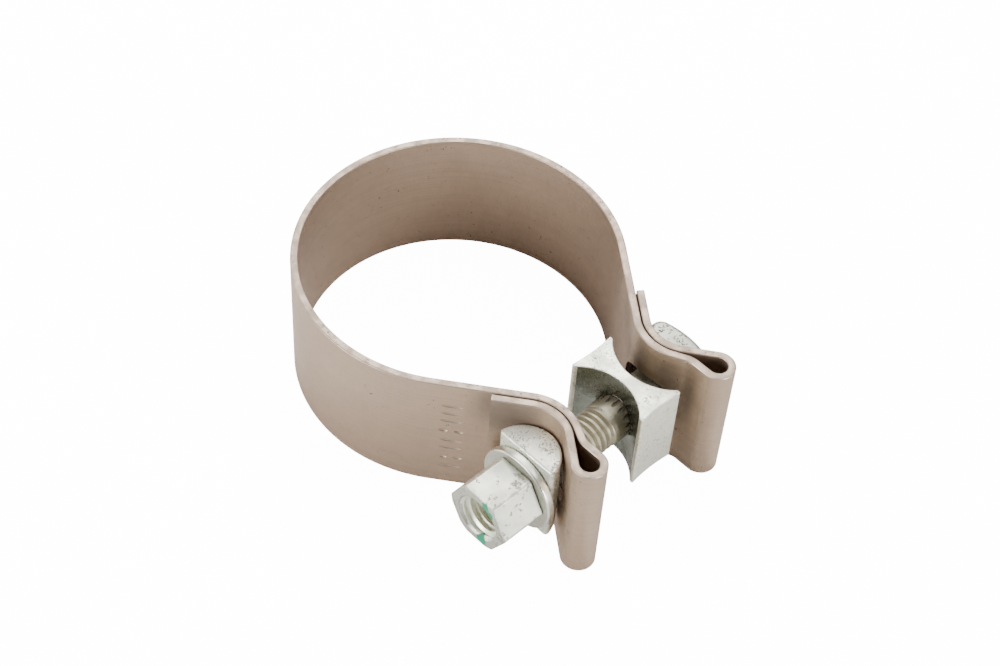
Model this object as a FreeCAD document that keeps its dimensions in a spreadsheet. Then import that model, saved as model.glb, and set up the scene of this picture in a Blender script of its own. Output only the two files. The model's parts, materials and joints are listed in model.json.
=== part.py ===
"""Single-bolt band clamp for lapped exhaust pipe, modelled loose, as it leaves the box.

Frame, in millimetres: the origin is the ring's centre at mid-width, +Z runs along the pipe,
+X points from the pipe to the tightening mechanism, and the bolt lies along Y, with its head
on the +Y side and the nut on the -Y side.
"""
import FreeCAD, Part
import math
import os
import re
import Sketcher

V = FreeCAD.Vector
doc = FreeCAD.newDocument("band_clamp")

# ---------------------------------------------------------------- driving dimensions
DIMENSIONS = [
    # band: one strip, both of its ends folded back outside into a loop
    ("ring_inner_r", 34.2),
    ("band_width", 32.0),
    ("band_thick", 1.7),
    ("layer_gap", 0.25),
    ("split_gap", 0.1),
    ("bolt_x", 44.3),
    ("saddle_y", 23.7),
    ("saddle_r", 11.6),
    ("saddle_exit_deg", 27.0),
    ("shoulder_r", 4.0),
    ("loop_run_y", 15.0),
    ("loop_x", 57.25),
    ("loop_r", 3.75),
    ("flap_end_x", 33.0),
    ("slot_end_r", 6.2),
    ("slot_offset", 1.3),
    ("slot_near_y", 5.0),
    ("slot_far_y", 24.0),
    # reaction block between the two saddles
    ("block_y", 5.7),
    ("block_half_x", 10.15),
    ("block_half_y", 5.75),
    ("block_face_r", 12.1),
    ("block_waist", 2.9),
    ("block_side_dip", 0.4),
    ("block_tall", 21.2),
    ("block_edge_r", 0.3),
    # bolt with a half-round head, and the loose spacer that matches its head
    ("half_round_r", 7.65),
    ("half_round_back", 0.5),
    ("head_back", 0.6),
    ("half_round_tall", 21.2),
    ("half_round_edge_r", 0.8),
    ("shank_r", 4.9),
    ("bolt_end_y", -28.5),
    ("bolt_end_chamfer", 0.9),
    ("running_fit", 0.07),
    ("loose_fit", 0.35),
    # washer and nut
    ("washer_r", 9.45),
    ("washer_thick", 1.9),
    ("washer_edge", 0.25),
    ("stack_gap", 0.15),
    ("nut_flats", 14.0),
    ("nut_long", 10.6),
    ("nut_chamfer", 0.45),
    ("nut_sink", 0.55),
]
sheet = doc.addObject("Spreadsheet::Sheet", "Sheet")
for row, (alias, value) in enumerate(DIMENSIONS, start=1):
    sheet.set("A%d" % row, alias)
    sheet.set("B%d" % row, str(value))
    sheet.setAlias("B%d" % row, alias)
doc.recompute()


def size(alias):
    """The value of one driving dimension."""
    return float(sheet.get(alias))


def bind(obj, **formulas):
    """Bind properties of obj to formulas whose words are aliases of the sheet."""
    for prop, formula in formulas.items():
        obj.setExpression(prop, re.sub(ALIAS, r"Sheet.\g<0>", formula))


ALIAS = r"\b(" + "|".join(alias for alias, value in DIMENSIONS) + r")\b"


def place(obj, x="0", y="0", z="0"):
    """Bind the three coordinates of an object's place."""
    for axis, formula in zip("xyz", (x, y, z)):
        bind(obj, **{"Placement.Base." + axis: formula})


class Outline:
    """A sketch drawn as one run of tangent lines and arcs, each tied to the one before."""

    START, END, CENTRE = 1, 2, 3

    def __init__(self, sketch):
        self.sketch = sketch
        self.leave = None

    def rule(self, *constraint, formula=None):
        """Add one constraint, bound to a formula if it has one."""
        index = self.sketch.addConstraint(Sketcher.Constraint(*constraint))
        if formula:
            name = "rule%d" % index
            self.sketch.renameConstraint(index, name)
            bind(self.sketch, **{"Constraints." + name: formula})
        return index

    def join(self, geo, first, last):
        """Make a new piece tangent to the piece before it."""
        if self.leave:
            self.rule("Tangent", self.leave[0], self.leave[1], geo, first)
        self.leave = (geo, last)

    def line(self, start, end):
        geo = self.sketch.addGeometry(Part.LineSegment(V(*start, 0), V(*end, 0)))
        self.join(geo, self.START, self.END)
        return geo

    def arc(self, centre, radius, angle_in, angle_out, formula):
        """An arc from one angle to another, in degrees, clockwise when the second is less."""
        circle = Part.Circle(V(*centre, 0), V(0, 0, 1), radius)
        turn = sorted((math.radians(angle_in), math.radians(angle_out)))
        geo = self.sketch.addGeometry(Part.ArcOfCircle(circle, *turn))
        forward = angle_out > angle_in
        first, last = (self.START, self.END) if forward else (self.END, self.START)
        self.join(geo, first, last)
        self.rule("Radius", geo, radius, formula=formula)
        return geo


def polar(centre, radius, degrees):
    """The point at an angle on a circle."""
    turn = math.radians(degrees)
    return centre[0] + radius * math.cos(turn), centre[1] + radius * math.sin(turn)


# ---------------------------------------------------------------- band
def band_sketch():
    """Half of the strip seen along the pipe: the face that touches the pipe and the block.

    It runs clockwise over the ring from the back, straight to the saddle that hugs the
    half-round, over a shoulder and round the loop, and back outside itself to the free end.
    """
    sketch = doc.addObject("Sketcher::SketchObject", "BandPath")
    path = Outline(sketch)
    ring, saddle = (0.0, 0.0), (size("bolt_x"), size("saddle_y"))
    ring_r, saddle_r, loop_r = size("ring_inner_r"), size("saddle_r"), size("loop_r")
    folded = "saddle_r - 2 * band_thick - layer_gap"
    folded_r = saddle_r - 2 * size("band_thick") - size("layer_gap")
    reach = math.hypot(*saddle)
    bearing = math.degrees(math.atan2(saddle[1], saddle[0]))
    leave_ring = bearing + math.degrees(math.acos((ring_r + saddle_r) / reach))
    exit_deg = size("saddle_exit_deg")
    loop = (size("loop_x"), size("loop_run_y") + loop_r)
    gap = math.hypot(loop[0] - saddle[0], loop[1] - saddle[1])
    slope = math.degrees(math.atan2(loop[1] - saddle[1], loop[0] - saddle[0]))
    rise_deg = slope + math.degrees(math.asin((folded_r + loop_r) / gap))

    back = 180.0 - math.degrees(0.5 * size("split_gap") / ring_r)
    around = path.arc(ring, ring_r, back, leave_ring, "ring_inner_r")
    path.rule("Coincident", around, path.CENTRE, -1, 1)
    path.rule("DistanceY", -1, 1, around, path.END, 0.05, formula="split_gap / 2")
    straight = path.line(polar(ring, ring_r, leave_ring), polar(saddle, saddle_r, leave_ring + 180))
    inner = path.arc(saddle, saddle_r, leave_ring + 180, 270 + exit_deg, "saddle_r")
    path.rule("DistanceX", -1, 1, inner, path.CENTRE, saddle[0], formula="bolt_x")
    path.rule("DistanceY", -1, 1, inner, path.CENTRE, saddle[1], formula="saddle_y")
    shoulder_r = size("shoulder_r")
    off = polar(saddle, saddle_r, 270 + exit_deg)
    climb = loop[1] - loop_r - off[1] - shoulder_r * (1 - math.cos(math.radians(exit_deg)))
    top = (off[0] + climb / math.tan(math.radians(exit_deg)), off[1] + climb)
    ramp = path.line(off, top)
    path.rule("Angle", -1, 1, ramp, 1, math.radians(exit_deg), formula="saddle_exit_deg * 1 deg")
    knee = polar(top, shoulder_r, exit_deg - 90)
    path.arc(knee, shoulder_r, exit_deg + 90, 90, "shoulder_r")
    run = path.line((knee[0], knee[1] + shoulder_r), (loop[0], loop[1] - loop_r))
    path.rule("Horizontal", run)
    path.rule("DistanceY", -1, 1, run, path.END, loop[1] - loop_r, formula="loop_run_y")
    curl = path.arc(loop, loop_r, -90, rise_deg + 90, "loop_r")
    path.rule("DistanceX", -1, 1, curl, path.CENTRE, loop[0], formula="loop_x")
    path.line(polar(loop, loop_r, rise_deg + 90), polar(saddle, folded_r, rise_deg - 90))
    outer = path.arc(saddle, folded_r, rise_deg + 270, leave_ring + 180, folded)
    path.rule("Coincident", outer, path.CENTRE, inner, path.CENTRE)
    rest = polar(saddle, folded_r, leave_ring + 180)
    end_x = size("flap_end_x")
    flap_rise = (rest[0] - end_x) / math.tan(math.radians(leave_ring))
    flap = path.line(rest, (end_x, rest[1] + flap_rise))
    path.rule("Parallel", straight, flap)
    path.rule("DistanceX", -1, 1, flap, path.END, end_x, formula="flap_end_x")
    return sketch


def slot_tool():
    """A bar with round ends that cuts the bolt's slot through both layers of the fold."""
    ends = []
    for name, side in (("SlotInnerEnd", "-"), ("SlotOuterEnd", "+")):
        end = doc.addObject("Part::Cylinder", name)
        end.Placement.Rotation = FreeCAD.Rotation(V(1, 0, 0), -90)
        bind(end, Radius="slot_end_r", Height="slot_far_y - slot_near_y")
        place(end, x="bolt_x %s slot_offset" % side, y="slot_near_y")
        ends.append(end)
    middle = doc.addObject("Part::Box", "SlotMiddle")
    bind(middle, Length="2 * slot_offset", Width="slot_far_y - slot_near_y", Height="2 * slot_end_r")
    place(middle, x="bolt_x - slot_offset", y="slot_near_y", z="0 - slot_end_r")
    tool = doc.addObject("Part::MultiFuse", "SlotTool")
    tool.Shapes = ends + [middle]
    return tool


def band_halves():
    """The band, cut at the back of the ring into the half with the head and its mirror."""
    ribbon = doc.addObject("Part::Offset2D", "BandRibbon")
    ribbon.Source = band_sketch()
    ribbon.Mode = "Skin"
    ribbon.Join = "Tangent"
    ribbon.Fill = True
    bind(ribbon, Value="band_thick")
    strip = doc.addObject("Part::Extrusion", "BandStrip")
    strip.Base = ribbon
    strip.DirMode = "Custom"
    strip.Dir = V(0, 0, 1)
    strip.Solid = True
    strip.Symmetric = True
    bind(strip, LengthFwd="band_width")
    head_half = doc.addObject("Part::Cut", "BandHeadHalf")
    head_half.Base = strip
    head_half.Tool = slot_tool()
    nut_half = doc.addObject("Part::Mirroring", "BandNutHalf")
    nut_half.Source = head_half
    nut_half.Base = V(0, 0, 0)
    nut_half.Normal = V(0, 1, 0)
    return head_half, nut_half


# ---------------------------------------------------------------- solid hardware
def new_body(name, y):
    """A body whose own origin is bound to a place on the bolt's axis."""
    body = doc.addObject("PartDesign::Body", name)
    place(body, x="bolt_x", y=y)
    return body


def sketch_on(body, role, name):
    """An empty sketch on one of the body's origin planes."""
    sketch = body.newObject("Sketcher::SketchObject", name)
    plane = [item for item in body.Origin.OriginFeatures if item.Role == role][0]
    sketch.AttachmentSupport = (plane, [""])
    sketch.MapMode = "FlatFace"
    return sketch


def round_sketch(body, name, formula):
    """A circle about the bolt's axis, on the plane that the axis crosses squarely."""
    sketch = sketch_on(body, "XZ_Plane", name)
    circle = sketch.addGeometry(Part.Circle(V(0, 0, 0), V(0, 0, 1), 5.0))
    ring = Outline(sketch)
    ring.rule("Coincident", circle, ring.CENTRE, -1, 1)
    ring.rule("Radius", circle, 5.0, formula=formula)
    return sketch


def pad(body, sketch, formula, name, midplane=False):
    """Pad a sketch; one on the XZ plane grows towards -Y."""
    feature = body.newObject("PartDesign::Pad", name)
    feature.Profile = sketch
    feature.SideType = "Symmetric" if midplane else "One side"
    bind(feature, Length=formula)
    doc.recompute()
    return feature


def drill(body, formula):
    """Bore right through a body along the bolt's axis, and prove that it cut something."""
    before = body.Shape.Volume
    bore = body.newObject("PartDesign::Pocket", body.Name + "Bore")
    bore.Profile = round_sketch(body, body.Name + "BoreSketch", formula)
    bore.Type = "ThroughAll"
    bore.SideType = "Symmetric"
    doc.recompute()
    assert body.Shape.Volume < before - 1.0, body.Name + " bore cut nothing"
    return bore


def edge_names(feature, wanted):
    """Names of the edges of a feature whose bounding box passes a test."""
    return ["Edge%d" % n for n, edge in enumerate(feature.Shape.Edges, 1) if wanted(edge.BoundBox)]


def dress(body, kind, base, wanted, prop, formula):
    """Fillet or chamfer the chosen edges of the body's last feature."""
    feature = body.newObject("PartDesign::" + kind, body.Name + kind)
    feature.Base = (base, edge_names(base, wanted))
    bind(feature, **{prop: formula})
    doc.recompute()
    return feature


def reaction_block():
    """The block between the flanges: four hollow sides that meet in four blunt tips."""
    body = new_body("ReactionBlock", y="block_y")
    sketch = sketch_on(body, "XY_Plane", "BlockOutline")
    draw = Outline(sketch)
    half_x, half_y = size("block_half_x"), size("block_half_y")
    face_r, dip = size("block_face_r"), size("block_side_dip")
    centre = size("block_waist") / 2 + face_r
    tip_x = math.sqrt(face_r ** 2 - (centre - half_y) ** 2)
    side_r = (half_y ** 2 + dip ** 2) / (2 * dip)
    side_formula = "(block_half_y * block_half_y + block_side_dip * block_side_dip) / (2 * block_side_dip)"
    open_deg = math.degrees(math.asin(tip_x / face_r))
    side_deg = math.degrees(math.asin(half_y / side_r))

    def bow(middle, radius, facing, spread, formula):
        circle = Part.Circle(V(*middle, 0), V(0, 0, 1), radius)
        turn = math.radians(facing - spread), math.radians(facing + spread)
        geo = sketch.addGeometry(Part.ArcOfCircle(circle, *turn))
        draw.rule("Radius", geo, radius, formula=formula)
        return geo

    near = bow((0, -centre), face_r, 90, open_deg, "block_face_r")
    right = bow((half_x - dip + side_r, 0), side_r, 180, side_deg, side_formula)
    far = bow((0, centre), face_r, 270, open_deg, "block_face_r")
    left = bow((dip - half_x - side_r, 0), side_r, 0, side_deg, side_formula)
    draw.rule("PointOnObject", near, draw.CENTRE, -2)
    draw.rule("PointOnObject", far, draw.CENTRE, -2)
    draw.rule("DistanceY", near, draw.CENTRE, -1, 1, centre, formula="block_waist / 2 + block_face_r")
    draw.rule("DistanceY", -1, 1, far, draw.CENTRE, centre, formula="block_waist / 2 + block_face_r")
    for side in (right, left):
        draw.rule("PointOnObject", side, draw.CENTRE, -1)

    corners = [
        (1, -1, near, draw.START, right, draw.END),
        (1, 1, far, draw.END, right, draw.START),
        (-1, 1, far, draw.START, left, draw.END),
        (-1, -1, near, draw.END, left, draw.START),
    ]
    for sx, sy, face, face_end, side, side_end in corners:
        inner, outer = V(sx * tip_x, sy * half_y, 0), V(sx * half_x, sy * half_y, 0)
        tip = sketch.addGeometry(Part.LineSegment(inner, outer))
        draw.rule("Coincident", tip, draw.START, face, face_end)
        draw.rule("Coincident", tip, draw.END, side, side_end)
        draw.rule("Horizontal", tip)
        span = (-1, 1, tip, draw.END) if sy > 0 else (tip, draw.END, -1, 1)
        draw.rule("DistanceY", *span, half_y, formula="block_half_y")
        if sy > 0:
            reach = (-1, 1, tip, draw.END) if sx > 0 else (tip, draw.END, -1, 1)
            draw.rule("DistanceX", *reach, half_x, formula="block_half_x")
    pad(body, sketch, "block_tall", "BlockPad", midplane=True)
    bore = drill(body, "shank_r + running_fit")
    upright = size("block_tall") - 1.0
    outside = tip_x - 0.1
    dress(body, "Fillet", bore,
          lambda box: box.ZLength > upright and max(abs(box.XMin), abs(box.XMax)) > outside,
          "Radius", "block_edge_r")
    return body


def half_round(body, faces, back):
    """A half-round seat: an arc that faces along Y, closed by a flat a little off its centre."""
    sketch = sketch_on(body, "XY_Plane", body.Name + "Outline")
    draw = Outline(sketch)
    radius, offset = size("half_round_r"), size(back) * (1 if back == "half_round_back" else -1)
    lean = math.degrees(math.asin(offset / radius))
    first, last = (lean, 180 - lean) if faces > 0 else (180 + lean, 360 - lean)
    circle = Part.Circle(V(0, 0, 0), V(0, 0, 1), radius)
    arc = sketch.addGeometry(Part.ArcOfCircle(circle, math.radians(first), math.radians(last)))
    ends = polar((0, 0), radius, last), polar((0, 0), radius, first)
    flat = sketch.addGeometry(Part.LineSegment(V(*ends[0], 0), V(*ends[1], 0)))
    draw.rule("Coincident", arc, draw.CENTRE, -1, 1)
    draw.rule("Radius", arc, radius, formula="half_round_r")
    draw.rule("Coincident", flat, draw.START, arc, draw.END)
    draw.rule("Coincident", flat, draw.END, arc, draw.START)
    draw.rule("Horizontal", flat)
    above = faces * offset > 0
    span = (-1, 1, flat, draw.START) if above else (flat, draw.START, -1, 1)
    draw.rule("DistanceY", *span, abs(offset), formula=back)
    base = pad(body, sketch, "half_round_tall", body.Name + "Pad", midplane=True)
    top = size("half_round_tall") / 2
    return dress(body, "Fillet", base,
                 lambda box: box.ZLength < 0.01 and abs(abs(box.ZMax) - top) < 0.01,
                 "Radius", "half_round_edge_r")


def t_bolt():
    """The bolt: a half-round head that hugs the fold, and a shank that ends inside the nut."""
    body = new_body("TBolt", y="saddle_y")
    half_round(body, faces=-1, back="head_back")
    shank = pad(body, round_sketch(body, "ShankSketch", "shank_r"), "saddle_y - bolt_end_y", "ShankPad")
    tip_y = size("bolt_end_y") - size("saddle_y")
    dress(body, "Chamfer", shank, lambda box: abs(box.YMin - tip_y) < 0.01 and box.YLength < 0.01,
          "Size", "bolt_end_chamfer")
    return body


def half_round_spacer():
    """The loose half-round that spreads the nut's pull over the other fold."""
    body = new_body("HalfRoundSpacer", y="0 - saddle_y")
    half_round(body, faces=1, back="half_round_back")
    drill(body, "shank_r + loose_fit")
    return body


WASHER_FACE = "half_round_back - saddle_y - stack_gap"


def flat_washer():
    """A plain washer between the spacer's flat and the nut."""
    body = new_body("FlatWasher", y=WASHER_FACE)
    pad(body, round_sketch(body, "WasherSketch", "washer_r"), "washer_thick", "WasherPad")
    bore = drill(body, "shank_r + loose_fit")
    rim = 2 * size("washer_r") - 0.1
    dress(body, "Chamfer", bore, lambda box: box.XLength > rim and box.YLength < 0.01,
          "Size", "washer_edge")
    return body


def long_hex_nut():
    """The nut, longer than a plain one, with two flats level and its corners chamfered."""
    body = new_body("LongHexNut", y=WASHER_FACE + " - washer_thick - stack_gap")
    sketch = sketch_on(body, "XZ_Plane", "HexSketch")
    draw = Outline(sketch)
    corner_r = size("nut_flats") / math.sqrt(3)
    corners = [V(*polar((0, 0), corner_r, 60 * k), 0) for k in range(6)]
    sides = [sketch.addGeometry(Part.LineSegment(a, b)) for a, b in zip(corners, corners[1:] + corners[:1])]
    guide = sketch.addGeometry(Part.Circle(V(0, 0, 0), V(0, 0, 1), corner_r), True)
    draw.rule("Coincident", guide, draw.CENTRE, -1, 1)
    draw.rule("Radius", guide, corner_r, formula="nut_flats / sqrt(3)")
    for this, following in zip(sides, sides[1:] + sides[:1]):
        draw.rule("Coincident", this, draw.END, following, draw.START)
        draw.rule("PointOnObject", this, draw.START, guide)
    for this, following in zip(sides[:-1], sides[1:]):
        draw.rule("Equal", this, following)
    draw.rule("Horizontal", sides[1])
    pad(body, sketch, "nut_long", "NutPad")

    profile = sketch_on(body, "XY_Plane", "NutChamferSketch")
    cut = Outline(profile)
    rim_r, end_y, drop = corner_r + 1.0, -size("nut_long"), size("nut_chamfer")
    inner_r = corner_r - drop * math.sqrt(3)
    lip_y = end_y + (rim_r - inner_r) / math.sqrt(3)
    points = [(inner_r, end_y), (rim_r, lip_y), (rim_r, end_y)]
    rims = zip(points, points[1:] + points[:1])
    lines = [profile.addGeometry(Part.LineSegment(V(*a, 0), V(*b, 0))) for a, b in rims]
    for this, following in zip(lines, lines[1:] + lines[:1]):
        cut.rule("Coincident", this, cut.END, following, cut.START)
    cut.rule("Vertical", lines[1])
    cut.rule("Horizontal", lines[2])
    cut.rule("Angle", lines[0], math.radians(30))
    corner = "nut_flats / sqrt(3)"
    cut.rule("DistanceX", -1, 1, lines[0], cut.START, inner_r, formula=corner + " - nut_chamfer * sqrt(3)")
    cut.rule("DistanceX", -1, 1, lines[1], cut.START, rim_r, formula=corner + " + 1")
    cut.rule("DistanceY", lines[0], cut.START, -1, 1, -end_y, formula="nut_long")
    before = body.Shape.Volume
    groove = body.newObject("PartDesign::Groove", "NutChamfer")
    groove.Profile = profile
    groove.ReferenceAxis = (profile, ["V_Axis"])
    groove.Angle = 360.0
    doc.recompute()
    assert body.Shape.Volume < before - 0.1, "nut chamfer cut nothing"
    bore = drill(body, "shank_r + running_fit")
    wide = 2 * (size("shank_r") + size("running_fit"))
    dress(body, "Chamfer", bore,
          lambda box: box.YLength < 0.01 and abs(box.XLength - wide) < 0.1 and abs(box.ZLength - wide) < 0.1,
          "Size", "nut_sink")
    return body


# ---------------------------------------------------------------- build, check and write
head_half, nut_half = band_halves()
NODES = {
    "band_head_half": head_half,
    "band_nut_half": nut_half,
    "t_bolt": t_bolt(),
    "reaction_block": reaction_block(),
    "half_round_spacer": half_round_spacer(),
    "flat_washer": flat_washer(),
    "long_hex_nut": long_hex_nut(),
}
for label, obj in NODES.items():
    obj.Label = label
doc.recompute()

for obj in doc.Objects:
    assert not {"Invalid", "Error"} & set(obj.State), (obj.Name, obj.State)
os.makedirs("parts", exist_ok=True)
for label, obj in NODES.items():
    shape = obj.Shape
    assert not shape.isNull() and shape.isValid() and len(shape.Solids) == 1, label
    shape.exportStep("parts/%s.step" % label)
    print("%-18s %9.1f mm3" % (label, shape.Volume))
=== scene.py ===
"""Single-bolt exhaust band clamp: the looks of its strip, block, bolt, seat, washer and nut.

Everything is in metres, in the frame's own axes: the ring is centred on the origin, +Z runs
along the pipe, +X points to the bolt, and the bolt lies along Y with its head on the +Y side.
"""
import json
import math

import bmesh
import bpy
from bpy.props import FloatProperty, FloatVectorProperty, IntProperty, PointerProperty
from bpy.types import Operator, Panel, PropertyGroup
from mathutils import Euler, Matrix, Vector, noise


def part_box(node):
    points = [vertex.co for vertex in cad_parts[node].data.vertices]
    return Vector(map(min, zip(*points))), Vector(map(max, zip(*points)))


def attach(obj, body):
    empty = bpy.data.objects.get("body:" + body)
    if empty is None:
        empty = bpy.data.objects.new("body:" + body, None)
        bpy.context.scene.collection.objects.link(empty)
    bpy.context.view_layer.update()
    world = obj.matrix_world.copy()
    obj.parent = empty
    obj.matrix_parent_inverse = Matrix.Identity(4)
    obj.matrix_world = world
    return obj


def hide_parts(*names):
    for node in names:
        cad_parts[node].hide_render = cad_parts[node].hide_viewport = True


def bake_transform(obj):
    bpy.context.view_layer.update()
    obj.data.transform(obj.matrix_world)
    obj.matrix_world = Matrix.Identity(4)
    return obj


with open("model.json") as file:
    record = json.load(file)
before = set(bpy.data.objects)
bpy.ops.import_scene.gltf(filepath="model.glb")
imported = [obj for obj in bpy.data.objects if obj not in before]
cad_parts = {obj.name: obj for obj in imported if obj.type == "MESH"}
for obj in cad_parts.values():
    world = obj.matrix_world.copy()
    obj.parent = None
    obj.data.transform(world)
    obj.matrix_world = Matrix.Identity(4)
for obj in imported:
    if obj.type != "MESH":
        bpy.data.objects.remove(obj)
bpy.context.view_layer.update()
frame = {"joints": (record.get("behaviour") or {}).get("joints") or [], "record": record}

bl_info = {
    "name": "Exhaust band clamp",
    "version": (1, 0, 0),
    "blender": (4, 5, 0),
    "location": "View3D > Sidebar > Clamp",
    "description": "Builds the visible pieces of a single-bolt band clamp round its frame",
    "category": "Object",
}

MM = 0.001
MOUNTS = {mount["name"]: mount for mount in frame["record"]["mounts"]}
JOINTS = {joint["name"]: joint for joint in frame["joints"]}
RING_R = MOUNTS["pipe_bore"]["dims"]["r_mm"] * MM
STRIP_WIDTH = MOUNTS["pipe_bore"]["dims"]["length_mm"] * MM
BOLT_X, SADDLE_Y, _ = JOINTS["bolt_tilt"]["pos_m"]
BOLT_AXIS = Vector((BOLT_X, 0, 0))
BAND_LOW, BAND_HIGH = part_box("band_head_half")
BOLT_LOW, BOLT_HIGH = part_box("t_bolt")
BLOCK_LOW, BLOCK_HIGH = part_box("reaction_block")
SPACER_LOW, SPACER_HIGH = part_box("half_round_spacer")
WASHER_LOW, WASHER_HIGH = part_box("flat_washer")
NUT_LOW, NUT_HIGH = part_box("long_hex_nut")
UP, ALONG_BOLT = Vector((0, 0, 1)), Vector((0, 1, 0))
SHARP_FROM = math.radians(32)   # edges sharper than this are shaded as edges


# ---------------------------------------------------------------- what a user would change
def length(name, description, millimetres):
    """A length property, given in millimetres and kept in metres."""
    return FloatProperty(name=name, description=description, default=millimetres * MM,
                         unit="LENGTH", precision=5)


def angle(name, description, degrees):
    """An angle property, given in degrees and kept in radians."""
    return FloatProperty(name=name, description=description, default=math.radians(degrees),
                         subtype="ANGLE")


def colour(name, description, rgb):
    """A colour property."""
    return FloatVectorProperty(name=name, description=description, default=rgb, subtype="COLOR",
                               size=3, min=0, max=1)


class ClampBandSizes(PropertyGroup):
    """The strip and the way it is folded."""

    thick: length("Strip thickness", "Thickness of the strip", 1.7)
    layer_gap: length("Fold gap", "Gap between the two layers of the fold", 0.25)
    saddle_r: length("Saddle radius", "Radius of the fold's face that meets the block", 11.6)
    exit_slope: angle("Ramp", "Slope of the strip as it leaves the saddle", 27.0)
    shoulder_r: length("Shoulder radius", "Radius of the bend between ramp and loop", 4.0)
    run_y: length("Loop offset", "Distance of the loop's inner side from the middle plane", 15.0)
    loop_r: length("Loop radius", "Outside radius of the loop's tip", 3.75)
    loop_x: length("Loop centre", "Distance of the loop's centre from the ring's axis", 57.25)
    flap_x: length("Free end", "Distance of the strip's free end from the ring's axis", 33.0)
    slot_r: length("Slot half height", "Half the height of the bolt's slot", 6.2)
    slot_shift: length("Slot shift", "Half the extra length of the slot", 1.3)
    edge_r: length("Edge rounding", "Rounding of the strip's sheared edges", 0.28)
    mark_deep: length("Mark depth", "Depth of the tally marks pressed into the strip", 0.27)


class ClampHardwareSizes(PropertyGroup):
    """Bolt, block, half-round seats, washer and nut."""

    shank_r: length("Shank radius", "Radius of the plain shank", 4.9)
    pitch: length("Thread pitch", "Distance from one thread to the next", 1.5)
    crest_r: length("Thread crest radius", "Outside radius of the bolt's thread", 4.8)
    root_r: length("Thread root radius", "Inside radius of the bolt's thread", 4.05)
    thread_gap: length("Thread clearance", "Radial gap between the two threads", 0.15)
    runout_y: length("Thread start", "Where the thread fades into the shank", 0.2)
    round_r: length("Half-round radius", "Radius of the half-round seats", 7.65)
    round_rim: length("Seat rounding", "Rounding of the loose seat's ends", 0.5)
    head_rim: length("Head rounding", "Rounding of the bolt head's ends", 1.5)
    head_corner: length("Head corner", "Rounding of the bolt head's two long corners", 2.6)
    head_lean: angle("Head lean", "Where the bolt head's corners start below its centre", 28.0)
    head_crown: angle("Head crown", "Half the angle that the bolt head's back turns through", 14.0)
    hole_r: length("Loose hole radius", "Radius of the hole in the seat and the washer", 5.25)
    bore_r: length("Block bore radius", "Radius of the bore in the block", 4.97)
    face_r: length("Block face radius", "Radius of the block's two hollow faces", 12.1)
    waist: length("Block waist", "Thickness of the block at its waist", 2.9)
    side_dip: length("Block side hollow", "Depth of the block's side hollows", 0.4)
    nut_flats: length("Nut across flats", "Width of the nut across its flats", 14.0)
    nut_chamfer: length("Nut chamfer", "Length cut from the nut's corners", 0.45)
    notches: IntProperty(name="Serrations", description="Grooves rolled round the shank",
                         default=17)


class ClampFinishes(PropertyGroup):
    """Colours of the metals and of the paint dabs."""

    strip: colour("Strip", "Warm grey of the rolled strip", (0.485, 0.355, 0.258))
    strip_cut: colour("Sheared edge", "Paler metal of the strip's cut edges", (0.455, 0.36, 0.28))
    zinc: colour("Zinc", "Pale plated steel", (0.85, 0.855, 0.735))
    zinc_shade: colour("Zinc in the hollows", "Greener plating in the drawn faces",
                       (0.36, 0.4, 0.355))
    bolt: colour("Bolt", "Olive plating of the thread", (0.43, 0.395, 0.29))
    paint: colour("Paint", "Green inspection paint", (0.0, 0.24, 0.115))


# ---------------------------------------------------------------- mesh helpers
class Pen:
    """Carries a point or a section along straights and bends, and leaves a line or a skin."""

    def __init__(self, bm, carried, position, heading):
        self.bm = bm
        self.carried = carried
        self.position = Vector((position[0], position[1], 0))
        self.heading = heading

    def toward(self, turn=0.0):
        """The way the pen faces, turned left by an angle."""
        return Vector((math.cos(self.heading + turn), math.sin(self.heading + turn), 0))

    def sweep(self, **how):
        """Spin what is carried and pick up its far end."""
        made = bmesh.ops.spin(self.bm, geom=self.carried, axis=UP, use_merge=False, **how)
        self.carried = made["geom_last"]

    def straight(self, distance):
        """Run straight on."""
        step = self.toward() * distance
        self.sweep(cent=self.position, angle=0.0, steps=1, dvec=step)
        self.position += step

    def bend(self, radius, turn, step=math.radians(3)):
        """Bend left by a positive angle, right by a negative one."""
        centre = self.position + self.toward(math.copysign(math.pi / 2, turn)) * radius
        self.sweep(cent=centre, angle=turn, steps=max(4, math.ceil(abs(turn) / step)))
        self.position = centre + Matrix.Rotation(turn, 3, "Z") @ (self.position - centre)
        self.heading += turn


def start_pen(bm, position, heading):
    """A pen that carries one point."""
    return Pen(bm, [bm.verts.new((position[0], position[1], 0))], position, heading)


def close_outline(bm, corner_r, corner_from=math.radians(12)):
    """Join the line's ends, round its corners, and give its points and edges."""
    bmesh.ops.remove_doubles(bm, verts=bm.verts, dist=1e-6)
    ends = [vert for vert in bm.verts if len(vert.link_edges) == 1]
    if ends:
        bm.edges.new(ends)
    face = bmesh.ops.contextual_create(bm, geom=list(bm.edges))["faces"][0]
    corners = [loop.vert for loop in face.loops if abs(loop.calc_angle() - math.pi) > corner_from]
    bmesh.ops.bevel(bm, geom=corners, offset=corner_r, segments=4, profile=0.5,
                    affect="VERTICES", clamp_overlap=True, material=-1)
    bmesh.ops.delete(bm, geom=list(bm.faces), context="FACES_ONLY")
    return list(bm.verts) + list(bm.edges)


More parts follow.
